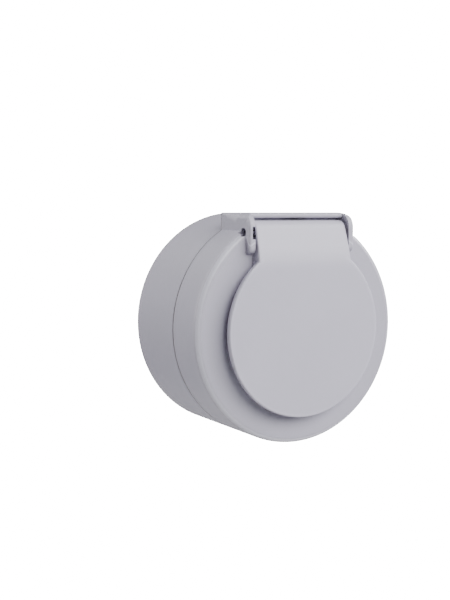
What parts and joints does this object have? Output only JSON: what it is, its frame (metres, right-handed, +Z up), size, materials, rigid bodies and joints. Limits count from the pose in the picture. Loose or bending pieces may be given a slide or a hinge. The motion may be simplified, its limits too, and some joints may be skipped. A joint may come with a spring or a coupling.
{
  "type": "power socket",
  "caption": "Round surface-mounted earthed power socket with a recessed two-pin well under a sprung hinged lid that closes against a seal.",
  "frame": {"origin": "centre of the flat rear face, the face that lies on the wall", "axes": "+Y into the wall, so the front looks along -Y; +X to the right seen from the front; +Z up, with the lid's hinge at the top"},
  "size_m": [0.075, 0.0477, 0.075],
  "materials": {
    "housing": "satin light grey",
    "lid": "satin light grey",
    "well": "satin light grey",
    "rubber": "matt black",
    "brass": "bright",
    "strip": "nickel plated",
    "steel": "zinc plated",
    "pin": "stainless"
  },
  "bodies": {
    "housing": {"rear_housing": "housing", "cable_grommet": "rubber", "seam_seal": "rubber", "fixing_washer_left": "rubber", "fixing_washer_right": "rubber", "front_cover": "housing", "socket_insert": "well", "insert_seal": "rubber", "contact_carrier": "well", "line_contact": "brass", "neutral_contact": "brass", "earth_strip": "strip", "line_clamp": "brass", "neutral_clamp": "brass", "earth_clamp": "steel", "line_screw": "steel", "neutral_screw": "steel", "earth_screw": "steel", "centre_screw": "steel", "carrier_screw_upper": "steel", "carrier_screw_lower": "steel", "hinge_pin": "pin", "lid_spring": "pin"},
    "lid": {"lid": "lid", "lid_seal": "rubber"}
  },
  "joints": [
    {"name": "lid_hinge", "type": "hinge", "parent": "housing", "child": "lid", "pos_m": [0, -0.042, 0.0311], "axis": [-1, 0, 0], "range_deg": [0, 95], "stiffness_Nm_per_rad": 0.02, "springref_deg": -45.84, "deforming": ["lid_spring"]}
  ]
}
